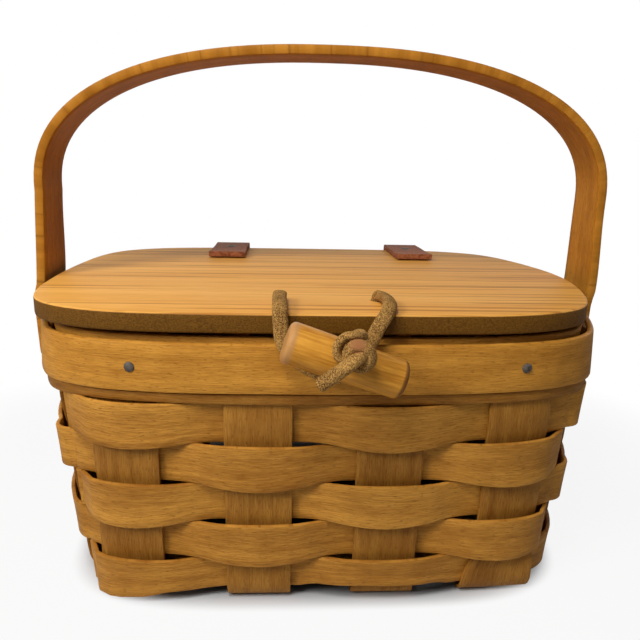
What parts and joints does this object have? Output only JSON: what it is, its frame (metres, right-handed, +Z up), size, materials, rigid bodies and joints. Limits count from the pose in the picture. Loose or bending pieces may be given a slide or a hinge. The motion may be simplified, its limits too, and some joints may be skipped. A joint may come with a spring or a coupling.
{
  "type": "lidded woven splint basket",
  "caption": "Small tapered basket woven from flat wooden splints, with a banded rim, a fixed bent-wood handle, a flat board lid on leather straps, and a wooden toggle with a leather loop.",
  "frame": {"origin": "middle of the body's footprint, on the surface it stands on", "axes": "+Z up, +X along the rim's long sides, -Y the front with the toggle, +Y the back with the hinge straps"},
  "size_m": [0.2422, 0.193, 0.2077],
  "materials": {
    "splint": "oiled splint, honey brown",
    "band": "oiled splint, warm brown",
    "handle_wood": "satin orange brown",
    "lid_wood": "satin light honey with long fine grain",
    "toggle_wood": "satin golden",
    "strap_leather": "dark reddish brown, dry",
    "lace_leather": "rough tan suede",
    "steel": "dull grey"
  },
  "bodies": {
    "basket": {"cross_stake_1": "splint", "cross_stake_2": "splint", "cross_stake_3": "splint", "cross_stake_4": "splint", "long_stake_1": "splint", "long_stake_2": "splint", "long_stake_3": "splint", "weaver_1": "splint", "weaver_2": "splint", "weaver_3": "splint", "weaver_4": "splint", "weaver_5": "splint", "trim_splint": "splint", "outer_rim_band": "band", "inner_rim_band": "band", "handle": "handle_wood", "band_nail_front_left": "steel", "band_nail_front_right": "steel", "band_nail_back_left": "steel", "band_nail_back_right": "steel", "handle_nail_left": "steel", "handle_nail_right": "steel", "rim_tack_left": "steel", "rim_tack_right": "steel", "toggle_lace_stem": "lace_leather", "stem_knot": "lace_leather"},
    "lid": {"lid": "lid_wood", "hinge_strap_left": "strap_leather", "hinge_strap_right": "strap_leather", "lid_tack_left": "steel", "lid_tack_right": "steel", "closure_loop": "lace_leather", "loop_knot_left": "lace_leather", "loop_knot_right": "lace_leather"},
    "toggle": {"toggle": "toggle_wood", "toggle_lace": "lace_leather"}
  },
  "joints": [
    {"name": "lid_hinge", "type": "hinge", "parent": "basket", "child": "lid", "pos_m": [0, 0.0805, 0.1077], "axis": [-1, 0, 0], "range_deg": [0, 27], "deforming": ["hinge_strap_left", "hinge_strap_right", "closure_loop"]},
    {"name": "toggle_swivel", "type": "hinge", "parent": "basket", "child": "toggle", "pos_m": [0.0043, -0.0947, 0.1039], "axis": [0, 1, 0], "range_deg": [-105, 70]}
  ]
}
